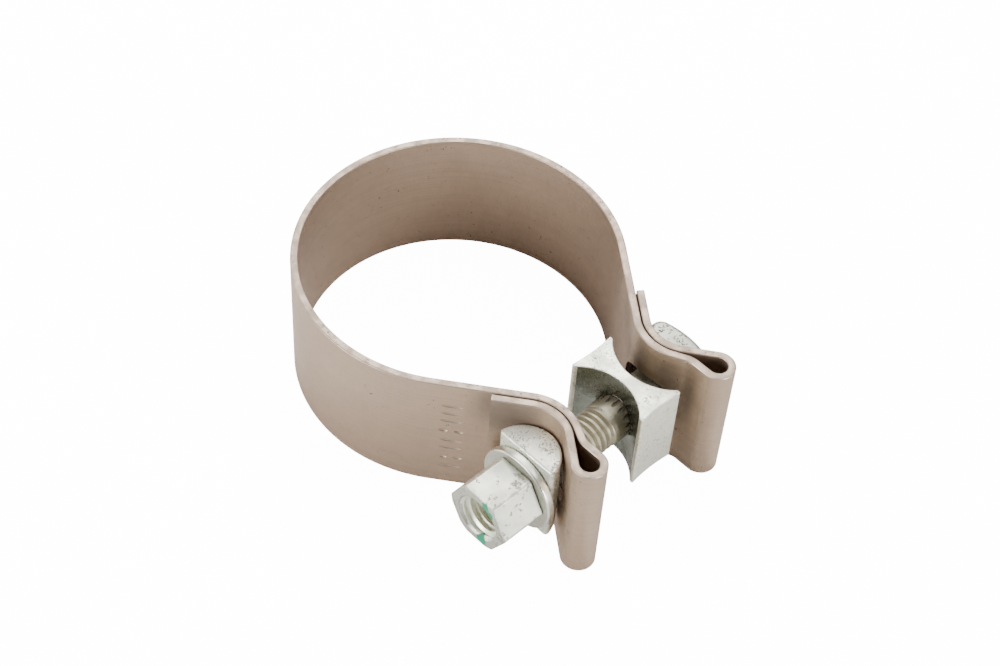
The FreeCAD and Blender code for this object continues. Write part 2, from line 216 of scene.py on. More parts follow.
def stand_up(bm, outline, height, rim_r, rim_steps=4):
    """Raise an outline to a solid about the plane z = 0, with rounded rims."""
    half = height / 2 - rim_r
    verts = [item for item in outline if isinstance(item, bmesh.types.BMVert)]
    bmesh.ops.translate(bm, vec=-UP * half, verts=verts)
    made = bmesh.ops.spin(bm, geom=outline, cent=(0, 0, 0), axis=UP, angle=0.0, steps=1,
                          dvec=UP * 2 * half, use_merge=False)
    turns = [math.pi / 2 * k / rim_steps for k in range(rim_steps + 1)]
    for side, rim in ((-1, outline), (1, made["geom_last"])):
        edges = [item for item in rim if isinstance(item, bmesh.types.BMEdge)]
        cap = bmesh.ops.contextual_create(bm, geom=edges)["faces"][0]
        cap.normal_update()
        if cap.normal.z * side < 0:
            cap.normal_flip()
        for before, after in zip(turns, turns[1:]):
            bm.normal_update()
            bmesh.ops.inset_region(
                bm, faces=[cap], use_even_offset=True,
                thickness=rim_r * (math.cos(before) - math.cos(after)),
                depth=rim_r * (math.sin(after) - math.sin(before)),
            )
    bmesh.ops.recalc_face_normals(bm, faces=bm.faces)


def turned(profile, segments=96):
    """A solid turned about the bolt's axis from (radius, y) points that stay off the axis."""
    bm = bmesh.new()
    verts = [bm.verts.new((BOLT_X + radius, y, 0)) for radius, y in profile]
    edges = [bm.edges.new(pair) for pair in zip(verts, verts[1:] + verts[:1])]
    bmesh.ops.spin(bm, geom=verts + edges, cent=BOLT_AXIS, axis=ALONG_BOLT, angle=math.tau,
                   steps=segments, use_merge=True)
    bmesh.ops.remove_doubles(bm, verts=bm.verts, dist=1e-7)
    return bm


def rod(radius, low_y, high_y, segments=96):
    """A closed bar on the bolt's axis."""
    bm = bmesh.new()
    bmesh.ops.create_cone(bm, cap_ends=True, segments=segments, radius1=radius, radius2=radius,
                          depth=high_y - low_y)
    lay_along_bolt(bm, (low_y + high_y) / 2)
    return bm


def lay_along_bolt(bm, y):
    """Turn a solid from Z to the bolt's axis."""
    turn = Matrix.Rotation(math.radians(-90), 4, "X")
    bmesh.ops.transform(bm, matrix=Matrix.Translation((BOLT_X, y, 0)) @ turn, verts=bm.verts)


def threaded(sizes, low_y, high_y, grow, shape, steps=72):
    """A right-hand thread between two planes, its radius passed through shape(radius, y)."""
    bm = bmesh.new()
    root, crest = sizes.root_r + grow, sizes.crest_r + grow
    soft = crest - 0.09 * MM
    ridge = [(root, 0.0), (root, 0.06), (soft, 0.31), (crest, 0.38), (crest, 0.62), (soft, 0.69),
             (root, 0.94), (root, 1.0)]
    first = math.floor(low_y / sizes.pitch) - 2
    turns = math.ceil(high_y / sizes.pitch) + 1 - first
    verts = [bm.verts.new((BOLT_X + radius, (first + part) * sizes.pitch, 0))
             for radius, part in ridge]
    edges = [bm.edges.new(pair) for pair in zip(verts, verts[1:])]
    bmesh.ops.spin(bm, geom=verts + edges, cent=BOLT_AXIS, axis=ALONG_BOLT, angle=math.tau * turns,
                   steps=steps * turns, dvec=ALONG_BOLT * sizes.pitch / steps, use_merge=False)
    bmesh.ops.remove_doubles(bm, verts=bm.verts, dist=2e-6)
    for y, above in ((low_y, False), (high_y, True)):
        geom = list(bm.verts) + list(bm.edges) + list(bm.faces)
        cut = bmesh.ops.bisect_plane(bm, geom=geom, plane_co=(0, y, 0), plane_no=ALONG_BOLT,
                                     clear_outer=above, clear_inner=not above)
        rim = [item for item in cut["geom_cut"] if isinstance(item, bmesh.types.BMEdge)]
        bmesh.ops.contextual_create(bm, geom=rim)
    cap_centre = 0.5 * MM
    for vert in bm.verts:
        across = Vector((vert.co.x - BOLT_X, 0, vert.co.z))
        if across.length > cap_centre:
            across *= shape(across.length, vert.co.y) / across.length
            vert.co = (BOLT_X + across.x, vert.co.y, across.z)
    bmesh.ops.recalc_face_normals(bm, faces=bm.faces)
    return bm


def to_object(name, bm):
    """A new object from a bmesh, which is freed."""
    bmesh.ops.recalc_face_normals(bm, faces=bm.faces)
    mesh = bpy.data.meshes.new(name)
    bm.to_mesh(mesh)
    bm.free()
    obj = bpy.data.objects.new(name, mesh)
    bpy.context.scene.collection.objects.link(obj)
    return obj


def carve(obj, tool, operation="DIFFERENCE"):
    """Cut a solid out of an object, or join it or keep what they share, and drop the tool."""
    tool = to_object("tool", tool)
    cut = obj.modifiers.new("Carve", "BOOLEAN")
    cut.operation = operation
    cut.solver = "EXACT"
    cut.object = tool
    bpy.context.view_layer.update()
    graph = bpy.context.evaluated_depsgraph_get()
    made = bpy.data.meshes.new_from_object(obj.evaluated_get(graph))
    old = obj.data
    obj.modifiers.remove(cut)
    obj.data = made
    made.name = old.name
    bpy.data.meshes.remove(old)
    bpy.data.objects.remove(tool)
    return obj


def edit(obj, change):
    """Run a bmesh change on a finished mesh."""
    bm = bmesh.new()
    bm.from_mesh(obj.data)
    change(bm)
    bm.to_mesh(obj.data)
    bm.free()


def wear_layer(bm):
    """The value on each face that the metals read as wear."""
    return bm.faces.layers.float.get("edge") or bm.faces.layers.float.new("edge")


def break_edges(obj, width, sharper_than=math.radians(35)):
    """Round the sharp edges, and mark the new faces as worn."""
    def change(bm):
        worn = wear_layer(bm)
        edges = [edge for edge in bm.edges
                 if edge.is_manifold and edge.calc_face_angle() > sharper_than]
        made = bmesh.ops.bevel(bm, geom=edges, offset=width, segments=4, profile=0.5,
                               affect="EDGES", clamp_overlap=True, material=-1)
        for face in made["faces"]:
            face[worn] = 1.0
    edit(obj, change)


def off_axis(point):
    """Distance of a point from the bolt's axis."""
    return math.hypot(point.x - BOLT_X, point.z)


def finish_piece(obj, nodes, materials, body=None, worn_from=math.inf):
    """Shade a piece, give it its metals, rub its rims, and let it stand for its plain solids.

    Rims are the sloping faces between the level ones and the upright ones, past x = worn_from.
    """
    mesh = obj.data
    bare = [polygon.material_index for polygon in mesh.polygons]
    mesh.materials.clear()
    for material in materials:
        mesh.materials.append(material)
    mesh.polygons.foreach_set("material_index", bare)
    if "edge" not in mesh.attributes:
        mesh.attributes.new("edge", "FLOAT", "FACE")
    rubbed = mesh.attributes["edge"].data
    for polygon in mesh.polygons:
        if 0.2 < abs(polygon.normal.z) < 0.97 and polygon.center.x > worn_from:
            rubbed[polygon.index].value = 1.0
    mesh.shade_smooth()
    mesh.set_sharp_from_angle(angle=SHARP_FROM)
    even = obj.modifiers.new("Even shading", "WEIGHTED_NORMAL")
    even.keep_sharp = True
    if body:
        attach(obj, body)
    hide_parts(*nodes)


# ---------------------------------------------------------------- shared surface effects
class Wiring:
    """A short way to write a node tree."""

    def __init__(self, tree):
        self.tree = tree

    def add(self, kind, inputs, out=0, **settings):
        """Add a node, set or link its inputs, and give one of its outputs."""
        node = self.tree.nodes.new(kind)
        for key, value in settings.items():
            setattr(node, key, value)
        for key, value in inputs.items():
            if isinstance(value, bpy.types.NodeSocket):
                self.tree.links.new(value, node.inputs[key])
            else:
                node.inputs[key].default_value = value
        return node.outputs[out]

    def math(self, operation, *values, clamp=False):
        """A Math node."""
        return self.add("ShaderNodeMath", dict(enumerate(values)), operation=operation,
                        use_clamp=clamp)

    def blend(self, share, first, second, mode="MIX"):
        """Mix two colours."""
        return self.add("ShaderNodeMix", {0: share, 6: first, 7: second}, out=2,
                        data_type="RGBA", blend_type=mode)

    def ramp(self, value, low, high, start=0.0, end=1.0):
        """Map a value between two limits, smoothly."""
        return self.add("ShaderNodeMapRange", {
            "Value": value, "From Min": low, "From Max": high, "To Min": start, "To Max": end,
        }, interpolation_type="SMOOTHSTEP")

    def noise(self, vector, scale, detail=3.0, rough=0.55):
        """A Noise Texture's value."""
        return self.add("ShaderNodeTexNoise", {
            "Vector": vector, "Scale": scale, "Detail": detail, "Roughness": rough,
        })


def effect(name, inputs, output, fill):
    """A shared node group with named inputs and one output; fill(wiring, inputs) wires it."""
    group = bpy.data.node_groups.get(name)
    if group:
        return group
    group = bpy.data.node_groups.new(name, "ShaderNodeTree")
    for label, kind in inputs.items():
        group.interface.new_socket(label, in_out="INPUT", socket_type="NodeSocket" + kind)
    group.interface.new_socket(output, in_out="OUTPUT", socket_type="NodeSocketFloat")
    entry = group.nodes.new("NodeGroupInput")
    result = fill(Wiring(group), entry.outputs)
    leave = group.nodes.new("NodeGroupOutput")
    group.links.new(result, leave.inputs[output])
    return group


def grain_group():
    """Fine drawn lines: a noise squeezed along one direction."""
    def fill(wire, get):
        squeezed = wire.add("ShaderNodeVectorMath", {0: get["Vector"], 1: get["Stretch"]},
                            operation="MULTIPLY")
        lines = wire.noise(squeezed, 1.0, detail=4.0, rough=0.6)
        return wire.ramp(lines, 0.3, 0.7)
    return effect("Rolled grain", {"Vector": "Vector", "Stretch": "Vector"}, "Lines", fill)


def specks_group():
    """Small scattered pits; Amount sets how much of the surface they take."""
    patch_scale, patch_share, highest, softness = 0.17, 0.55, 1.06, 0.05

    def fill(wire, get):
        fine = wire.noise(get["Vector"], get["Scale"], detail=2.0)
        wide = wire.math("MULTIPLY", get["Scale"], patch_scale)
        broad = wire.noise(get["Vector"], wide, detail=2.0)
        level = wire.math("ADD", fine, wire.math("MULTIPLY", broad, patch_share))
        low = wire.math("SUBTRACT", highest, get["Amount"])
        return wire.ramp(level, low, wire.math("ADD", low, softness))
    inputs = {"Vector": "Vector", "Scale": "Float", "Amount": "Float"}
    return effect("Specks", inputs, "Mask", fill)


def wear_group():
    """Rubbed edges: where Edge is set, broken up by a noise."""
    def fill(wire, get):
        patches = wire.ramp(wire.noise(get["Vector"], get["Scale"], detail=3.0), 0.32, 0.6)
        return wire.math("MULTIPLY", patches, get["Edge"], clamp=True)
    inputs = {"Vector": "Vector", "Scale": "Float", "Edge": "Float"}
    return effect("Worn edges", inputs, "Mask", fill)


def cloud_group():
    """Broad uneven tone."""
    def fill(wire, get):
        return wire.ramp(wire.noise(get["Vector"], get["Scale"], detail=3.0), 0.3, 0.7)
    return effect("Uneven tone", {"Vector": "Vector", "Scale": "Float"}, "Mask", fill)


# how strongly the shared effects show in every metal
GRAIN_RISE, PIT_SINK, SPARK_RISE = 0.5, 1.2, 1.5
PIT_COVER, WEAR_COVER = 0.85, 0.75
PIT_ROUGHER, WEAR_SMOOTHER = 0.25, 0.08
WEAR_SCALE, BUMP_STRENGTH = 420.0, 0.6
# SPARK is the near-white colour of the painted glints
SPARK = (0.97, 0.97, 0.95, 1)
DAB_ROUGHNESS, DAB_SCALE, DAB_RAGGED = 0.6, 900.0, 1.6 * MM


def metal(name, pale, shade, metallic=1.0, rough=(0.3, 0.45), cloud=90.0, stretch=None, grain=0.1,
          speck=(700.0, 0.1), pit=(0.12, 0.1, 0.08), worn=(0.9, 0.88, 0.82), peel=(1600.0, 0.3),
          relief=0.02, glint=None, dabs=()):
    """One plated or rolled metal, made of the shared effects with its own values.

    speck and glint are (scale, amount), peel is (scale, height), relief is in millimetres, and
    each dab (the nut's paint, the strip's painted shade) is (centre, reach, softness, strength,
    colour).
    """
    material = bpy.data.materials.new(name)
    material.use_nodes = True
    tree = material.node_tree
    wire = Wiring(tree)
    place = wire.add("ShaderNodeTexCoord", {}, out="Object")
    tone = wire.add("ShaderNodeGroup", {"Vector": place, "Scale": cloud}, node_tree=cloud_group())
    surface = wire.blend(tone, (*shade, 1), (*pale, 1))
    height = wire.math("MULTIPLY", wire.noise(place, peel[0], detail=4.0), peel[1])
    if stretch:
        lines = wire.add("ShaderNodeGroup", {"Vector": place, "Stretch": stretch},
                         node_tree=grain_group())
        surface = wire.blend(grain, surface, wire.ramp(lines, 0, 1, 0.25, 1.0), mode="MULTIPLY")
        height = wire.math("ADD", height, wire.math("MULTIPLY", lines, GRAIN_RISE))
    pits = wire.add("ShaderNodeGroup", {"Vector": place, "Scale": speck[0], "Amount": speck[1]},
                    node_tree=specks_group())
    surface = wire.blend(wire.math("MULTIPLY", pits, PIT_COVER), surface, (*pit, 1))
    height = wire.math("SUBTRACT", height, wire.math("MULTIPLY", pits, PIT_SINK))
    # glint: painted glints, near-white dots put into the colour as sparkles of light, raised a
    # little in the bump
    if glint:
        sparks = wire.add("ShaderNodeGroup",
                          {"Vector": place, "Scale": glint[0], "Amount": glint[1]},
                          node_tree=specks_group())
        surface = wire.blend(sparks, surface, SPARK)
        height = wire.math("ADD", height, wire.math("MULTIPLY", sparks, SPARK_RISE))
    edge = wire.add("ShaderNodeAttribute", {}, out="Fac", attribute_name="edge")
    rubbed = wire.add("ShaderNodeGroup", {"Vector": place, "Scale": WEAR_SCALE, "Edge": edge},
                      node_tree=wear_group())
    surface = wire.blend(wire.math("MULTIPLY", rubbed, WEAR_COVER), surface, (*worn, 1))
    gloss = wire.ramp(tone, 0, 1, rough[1], rough[0])
    gloss = wire.math("ADD", gloss, wire.math("MULTIPLY", pits, PIT_ROUGHER))
    gloss = wire.math("SUBTRACT", gloss, wire.math("MULTIPLY", rubbed, WEAR_SMOOTHER), clamp=True)
    shine = metallic
    # dabs are the nut's green paint and the painted shade on the strip's flaps
    for spot, reach, soft, strength, paint in dabs:
        gap = wire.add("ShaderNodeVectorMath", {0: place, 1: spot}, out="Value",
                       operation="DISTANCE")
        wander = wire.math("MULTIPLY", wire.noise(place, DAB_SCALE), DAB_RAGGED)
        middle = reach + DAB_RAGGED / 2
        dab = wire.ramp(wire.math("ADD", gap, wander), middle - soft, middle + soft, strength, 0.0)
        surface = wire.blend(dab, surface, (*paint, 1))
        gloss = wire.add("ShaderNodeMix", {0: dab, 2: gloss, 3: DAB_ROUGHNESS}, data_type="FLOAT")
        shine = wire.math("MULTIPLY", shine, wire.math("SUBTRACT", 1.0, dab))
    bump = wire.add("ShaderNodeBump", {
        "Height": height, "Strength": BUMP_STRENGTH, "Distance": relief * MM,
    })
    shader = tree.nodes["Principled BSDF"]
    for key, value in (("Base Color", surface), ("Roughness", gloss), ("Normal", bump)):
        tree.links.new(value, shader.inputs[key])
    if isinstance(shine, bpy.types.NodeSocket):
        tree.links.new(shine, shader.inputs["Metallic"])
    else:
        shader.inputs["Metallic"].default_value = shine
    return material


# ---------------------------------------------------------------- the strip
def strip_section(bm, sizes):
    """The strip's cross-section at the back of the ring, its sheared corners rounded."""
    half = STRIP_WIDTH / 2
    corners = [(-RING_R, -half), (-RING_R - sizes.thick, -half),
               (-RING_R - sizes.thick, half), (-RING_R, half)]
    verts = [bm.verts.new((x, 0, z)) for x, z in corners]
    for pair in zip(verts, verts[1:] + verts[:1]):
        bm.edges.new(pair)
    return close_outline(bm, sizes.edge_r)


def folded_strip(sizes):
    """Half the ring, the fold and the loop, swept from the back of the ring."""
    span = math.hypot(BOLT_X, SADDLE_Y)
    reach = RING_R + sizes.saddle_r
    fold = math.atan2(SADDLE_Y, BOLT_X) + math.acos(reach / span) - math.pi / 2
    folded_r = sizes.saddle_r - 2 * sizes.thick - sizes.layer_gap
    slope = sizes.exit_slope
    off_x = BOLT_X + sizes.saddle_r * math.sin(slope)
    off_y = SADDLE_Y - sizes.saddle_r * math.cos(slope)
    climb = sizes.run_y - off_y - sizes.shoulder_r * (1 - math.cos(slope))
    knee_x = off_x + climb / math.tan(slope) + sizes.shoulder_r * math.sin(slope)
    across, along = sizes.loop_x - BOLT_X, sizes.run_y + sizes.loop_r - SADDLE_Y
    gap = math.hypot(across, along)
    rise = math.atan2(along, across) + math.asin((folded_r + sizes.loop_r) / gap)

    bm = bmesh.new()
    pen = Pen(bm, strip_section(bm, sizes), (-RING_R, 0), math.pi / 2)
    pen.bend(RING_R, fold - math.pi / 2, step=math.radians(2))
    pen.straight(math.sqrt(span ** 2 - reach ** 2))
    pen.bend(sizes.saddle_r, slope - fold)
    pen.straight(climb / math.sin(slope))
    pen.bend(sizes.shoulder_r, -slope)
    pen.straight(sizes.loop_x - knee_x)
    pen.bend(sizes.loop_r, math.pi + rise, step=math.radians(5))
    pen.straight(math.sqrt(gap ** 2 - (folded_r + sizes.loop_r) ** 2))
    pen.bend(folded_r, fold - rise)
    pen.straight((pen.position.x - sizes.flap_x) / math.cos(fold))
    rim = [item for item in pen.carried if isinstance(item, bmesh.types.BMEdge)]
    bmesh.ops.contextual_create(bm, geom=rim)
    everything = list(bm.verts) + list(bm.edges) + list(bm.faces)
    bmesh.ops.mirror(bm, geom=everything, axis="Y", merge_dist=1e-6)
    return bm


def slot_bar(sizes, side):
    """The round-ended bar that cuts the bolt's slot through one fold."""
    bm = bmesh.new()
    pen = start_pen(bm, (-sizes.slot_shift, -sizes.slot_r), 0.0)
    for _ in range(2):
        pen.straight(2 * sizes.slot_shift)
        pen.bend(sizes.slot_r, math.pi, step=math.radians(5))
    no_corners, bar_long, bar_rim, bar_y = 1e-6, 19 * MM, 0.2 * MM, 14.5 * MM
    outline = close_outline(bm, no_corners, corner_from=math.radians(60))
    stand_up(bm, outline, bar_long, bar_rim, rim_steps=1)
    lay_along_bolt(bm, side * bar_y)
    return bm


def tally_marks(sizes):
    """Bars pressed one above another into the straight of the strip, before its free end."""
    span = math.hypot(BOLT_X, SADDLE_Y)
    leave = math.atan2(SADDLE_Y, BOLT_X) + math.acos((RING_R + sizes.saddle_r) / span)
    outer = RING_R + sizes.thick - sizes.mark_deep
    pin_r = 0.5 * MM
    whole, half = (4.5, 5.4), ((2.9, 2.2), (6.1, 2.2))   # places and lengths along the strip
    rows = [(9.6, whole), (7.2, whole), (4.8, whole), (1.6, half[0]), (1.6, half[1]),
            (-1.6, whole), (-4.0, whole), (-7.2, half[0]), (-7.2, half[1]), (-10.2, whole)]
    bm = bmesh.new()
    for height, (along, wide) in rows:
        made = bmesh.ops.create_uvsphere(bm, u_segments=24, v_segments=12, radius=pin_r)
        place = Matrix.Translation((outer + pin_r, along * MM, height * MM))
        place = Matrix.Rotation(-leave, 4, "Z") @ place @ Matrix.Diagonal((1, wide, 1, 1))
        bmesh.ops.transform(bm, matrix=place, verts=made["verts"])
    return bm


def build_band(sizes, metals):
    """The whole band as one strip, slotted for the bolt and pressed with tally marks."""
    band = to_object("clamp_band", folded_strip(sizes))
    for side in (-1, 1):
        carve(band, slot_bar(sizes, side))
    carve(band, tally_marks(sizes))

    fold_x, past_gap = 30 * MM, 4 * MM   # the folds start here, either side of the gap
    slot_reach, slot_half = sizes.slot_r + sizes.slot_shift + 0.2 * MM, sizes.slot_r + 0.01 * MM
    tip_reach, tip_area = sizes.flap_x + 1.2 * MM, 3e-5

    def change(bm):
        for face in bm.faces:
            middle, normal = face.calc_center_median(), face.normal
            in_fold = middle.x > fold_x
            at_rim = abs(normal.z) > 0.35
            at_slot = (in_fold and off_axis(middle) < slot_reach and abs(normal.y) < 0.5
                       and abs(middle.z) < slot_half and abs(middle.y) > past_gap)
            at_tip = (in_fold and middle.x < tip_reach and abs(normal.x) > 0.6
                      and face.calc_area() > tip_area)
            if at_rim or at_slot or at_tip:
                face.material_index = 1
    edit(band, change)
    finish_piece(band, ("band_head_half", "band_nut_half"), metals,
                 worn_from=BOLT_X + 9 * MM)
    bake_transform(band)


# ---------------------------------------------------------------- bolt, block, seat, washer, nut
def half_round(sizes, saddle_y, flat_y, height):
    """A half-round seat about a saddle's centre, closed by a flat near its centre."""
    bm = bmesh.new()
    facing = -math.copysign(1, saddle_y)
    lean = math.asin((flat_y - saddle_y) * facing / sizes.round_r)
    start = math.pi * (facing < 0) + lean
    at = (BOLT_X + sizes.round_r * math.cos(start), saddle_y + sizes.round_r * math.sin(start))
    pen = start_pen(bm, at, start + math.pi / 2)
    pen.bend(sizes.round_r, math.pi - 2 * lean, step=math.radians(8))
    stand_up(bm, close_outline(bm, 0.9 * MM), height, sizes.round_rim)
    return bm


def crowned_head(sizes, height):
    """The bolt's head: a half-round with big corners and a back that rises in the middle."""
    corner, crown_turn, lean = sizes.head_corner, sizes.head_crown, sizes.head_lean
    crown_r = corner + (sizes.round_r - corner) * math.cos(lean) / math.sin(crown_turn)
    start = math.pi + lean
    at = (BOLT_X + sizes.round_r * math.cos(start), SADDLE_Y + sizes.round_r * math.sin(start))
    bm = bmesh.new()
    pen = start_pen(bm, at, start + math.pi / 2)
    pen.bend(sizes.round_r, math.pi - 2 * lean, step=math.radians(4))
    pen.bend(corner, math.pi / 2 + lean - crown_turn, step=math.radians(10))
    pen.bend(crown_r, 2 * crown_turn, step=math.radians(3))
    pen.bend(corner, math.pi / 2 + lean - crown_turn, step=math.radians(10))
    stand_up(bm, close_outline(bm, 0.1 * MM), height, sizes.head_rim, rim_steps=5)
    return bm


def bolt_shape(sizes):
    """How the thread's radius ends: a chamfered tip, and a run-out into the plain shank."""
    tip_y, chamfer = BOLT_LOW.y, 0.9 * MM
    fade_from, fade_over = sizes.runout_y - 2.2 * MM, 2.0 * MM
    full = sizes.shank_r - 0.02 * MM   # just under the rod, so that their faces never coincide

    def shape(radius, y):
        fade = min(1.0, max(0.0, (y - fade_from) / fade_over))
        radius += (full - radius) * fade * fade * (3 - 2 * fade)
        return min(radius, sizes.shank_r - chamfer + max(0.0, y - tip_y))
    return shape


def build_bolt(sizes, metals):
    """The bolt: half-round head, serrated shank and a real right-hand thread."""
    bolt = to_object("bolt", crowned_head(sizes, BOLT_HIGH.z - BOLT_LOW.z))
    shank_low = sizes.runout_y + 0.5 * MM
    stem = threaded(sizes, BOLT_LOW.y, shank_low, 0.0, bolt_shape(sizes))
    carve(bolt, rod(sizes.shank_r, shank_low - 0.3 * MM, SADDLE_Y - 2 * MM, 72), "UNION")
    carve(bolt, stem, "UNION")
    bites = bmesh.new()
    bite_r, bite_half, bite_out, before_block = 0.5 * MM, 1.5 * MM, 0.06 * MM, 1.15 * MM
    bite_y = BLOCK_LOW.y + (BLOCK_HIGH.y - BLOCK_LOW.y) / 2 - sizes.waist / 2 - before_block
    for k in range(sizes.notches):
        made = bmesh.ops.create_uvsphere(bites, u_segments=18, v_segments=12, radius=bite_r)
        vary = 1.0 + 0.2 * noise.noise(Vector((k * 1.7, 3.1, 0.4)))
        swell = Matrix.Diagonal((1.15, 2.6 * vary, 0.86, 1))
        out = Matrix.Translation((sizes.shank_r + bite_out, bite_y, 0))
        turn = Matrix.Rotation(math.tau * k / sizes.notches, 4, "Y")
        place = Matrix.Translation(BOLT_AXIS) @ turn @ out @ swell
        bmesh.ops.transform(bites, matrix=place, verts=made["verts"])
    carve(bolt, bites)

    def change(bm):
        for face in bm.faces:
            middle = face.calc_center_median()
            radius = off_axis(middle)
            if radius < sizes.shank_r + 0.02 * MM and middle.y < SADDLE_Y - sizes.round_r:
                # the roots of the bites take the darker metal, a painted shade in the grooves
                in_bite = abs(middle.y - bite_y) < bite_half and radius < sizes.shank_r - bite_out
                face.material_index = 2 if in_bite else 1
    edit(bolt, change)
    finish_piece(bolt, ("t_bolt",), metals, body="bolt")


def build_block(sizes, metals):
    """The reaction block: four hollow sides, four blunt tips, and a burred bore."""
    half_x, half_y = (BLOCK_HIGH.x - BLOCK_LOW.x) / 2, (BLOCK_HIGH.y - BLOCK_LOW.y) / 2
    middle_y = (BLOCK_HIGH.y + BLOCK_LOW.y) / 2
    tip_x = math.sqrt(sizes.face_r ** 2 - (sizes.waist / 2 + sizes.face_r - half_y) ** 2)
    opening = math.asin(tip_x / sizes.face_r)
    side_r = (half_y ** 2 + sizes.side_dip ** 2) / (2 * sizes.side_dip)
    side_turn = math.asin(half_y / side_r)
    bm = bmesh.new()
    pen = start_pen(bm, (BOLT_X - tip_x, middle_y - half_y), 0.0)
    for facing in (0.0, math.pi):
        pen.heading = facing + opening
        pen.bend(sizes.face_r, -2 * opening)
        pen.heading = facing
        pen.straight(half_x - tip_x)
        pen.heading = facing + math.pi / 2 + side_turn
        pen.bend(side_r, -2 * side_turn)
        pen.heading = facing + math.pi
        pen.straight(half_x - tip_x)
    stand_up(bm, close_outline(bm, 0.3 * MM), BLOCK_HIGH.z - BLOCK_LOW.z, 0.25 * MM, rim_steps=3)
    block = to_object("reaction_block_cast", bm)

    near = middle_y - sizes.waist / 2
    burr = ((-0.02, 0.5), (0.4, 0.5), (0.36, -0.05), (0.15, -0.2), (-0.02, -0.15))
    lip = turned([(sizes.bore_r + out * MM, near + y * MM) for out, y in burr], segments=72)
    for vert in lip.verts:
        if vert.co.y < near:
            vert.co.y += 0.22 * MM * noise.noise(vert.co * 1100)
    carve(block, lip, "UNION")
    carve(block, rod(sizes.bore_r, middle_y - 8 * MM, middle_y + 8 * MM))

    def change(bm):
        for face in bm.faces:
            middle = face.calc_center_median()
            hollow = abs(face.normal.y) > 0.55 and abs(face.normal.z) < 0.3
            if hollow and abs(middle.x - BOLT_X) < tip_x - 0.4 * MM:
                face.material_index = 1
            if max(off_axis(vert.co) for vert in face.verts) < sizes.bore_r + 0.7 * MM:
                face.material_index = 2
    edit(block, change)
    finish_piece(block, ("reaction_block",), metals, body="block", worn_from=0.0)


def build_spacer(sizes, metals):
    """The loose half-round seat under the washer."""
    body = half_round(sizes, -SADDLE_Y, SPACER_LOW.y, SPACER_HIGH.z - SPACER_LOW.z)
    spacer = to_object("half_round_seat", body)
    carve(spacer, rod(sizes.hole_r, SPACER_LOW.y - 2 * MM, SPACER_HIGH.y + 2 * MM))
    finish_piece(spacer, ("half_round_spacer",), metals, body="spacer", worn_from=0.0)


def build_washer(sizes, metals):
    """A punched washer, rounded on the rim."""
    outer = (WASHER_HIGH.x - WASHER_LOW.x) / 2
    low, high = WASHER_LOW.y, WASHER_HIGH.y
    ring = turned([(sizes.hole_r, low), (outer, low), (outer, high), (sizes.hole_r, high)])
    washer = to_object("washer_ring", ring)
    break_edges(washer, 0.35 * MM)
    finish_piece(washer, ("flat_washer",), metals, body="washer")


def build_nut(sizes, metals):
    """The long nut: rounded corners, a chamfered end, a countersink and a real thread."""
    low, high = NUT_LOW.y, NUT_HIGH.y
    corner_r = sizes.nut_flats / math.sqrt(3)
    bm = bmesh.new()
    pen = start_pen(bm, (corner_r, 0), math.radians(120))
    for _ in range(6):
        pen.straight(corner_r)
        pen.heading += math.radians(60)
    stand_up(bm, close_outline(bm, 0.5 * MM), high - low, 0.12 * MM, rim_steps=2)
    lay_along_bolt(bm, (low + high) / 2)
    nut = to_object("hex_nut_long", bm)
    rim = corner_r - sizes.nut_chamfer * math.sqrt(3)
    wide = corner_r + 1.5 * MM
    lift = (wide - rim) / math.sqrt(3)
    axis_gap, above = 0.001 * MM, high + 1 * MM
    hull = turned([(axis_gap, low), (rim, low), (wide, low + lift), (wide, above),
                   (axis_gap, above)], segments=120)
    carve(nut, hull, "INTERSECT")
    sink_r, past_end = sizes.bore_r + 0.55 * MM, 0.6 * MM

    def shape(radius, y):
        near_end = sink_r - min(abs(y - low), abs(y - high)) if low <= y <= high else sink_r
        return max(radius, near_end)
    carve(nut, threaded(sizes, low - past_end, high + past_end, sizes.thread_gap, shape))
    corner_from, corner_turn = sizes.nut_flats / 2 + 0.6 * MM, 6

    def change(bm):
        worn = wear_layer(bm)
        for face in bm.faces:
            middle = face.calc_center_median()
            if off_axis(middle) < sizes.bore_r + 0.1 * MM:
                face.material_index = 1
            # rubbed long corners: wear, and also a painted highlight, since the pale worn colour
            # brightens the nut's long edges
            turn = math.degrees(math.atan2(middle.z, middle.x - BOLT_X)) % 60
            at_corner = off_axis(middle) > corner_from and abs(face.normal.y) < 0.3
            if at_corner and min(turn, 60 - turn) < corner_turn:
                face[worn] = 1.0
    edit(nut, change)
    finish_piece(nut, ("long_hex_nut",), metals, body="nut")


# ---------------------------------------------------------------- operators
def sizes_of(context):
    """The three groups of settings."""
    scene = context.scene
    return scene.clamp_band, scene.clamp_hardware, scene.clamp_finishes


class CLAMP_OT_band(Operator):
    """Build the folded band"""

    bl_idname = "clamp.band"
    bl_label = "Band"

    def execute(self, context):
        band, _, finish = sizes_of(context)
        strip = Vector(finish.strip)
        # painted shade: a dark dab on each flap of the strip, by its free end, where the parts
        # beside it shade it
        painted_flap_shade = [((35.5 * MM, side * 21.0 * MM, 12 * MM), 6.5 * MM, 4.5 * MM, 0.9, strip * 0.25)
               for side in (-1, 1)]
        metals = (
            metal("Rolled strip", strip * 1.04, strip * 0.94, metallic=0.85, rough=(0.36, 0.44),
                  cloud=45.0, stretch=(22.0, 22.0, 9000.0), grain=0.13, speck=(2200.0, 0.05),
                  worn=(0.76, 0.68, 0.6), peel=(3200.0, 0.3), relief=0.012, dabs=painted_flap_shade),
            metal("Sheared edge", finish.strip_cut, Vector(finish.strip_cut) * 0.8, metallic=0.8,
                  rough=(0.42, 0.55), cloud=320.0, speck=(2900.0, 0.13), pit=(0.28, 0.23, 0.18),
                  worn=(0.78, 0.71, 0.63), relief=0.03),
        )
        build_band(band, metals)
        return {"FINISHED"}


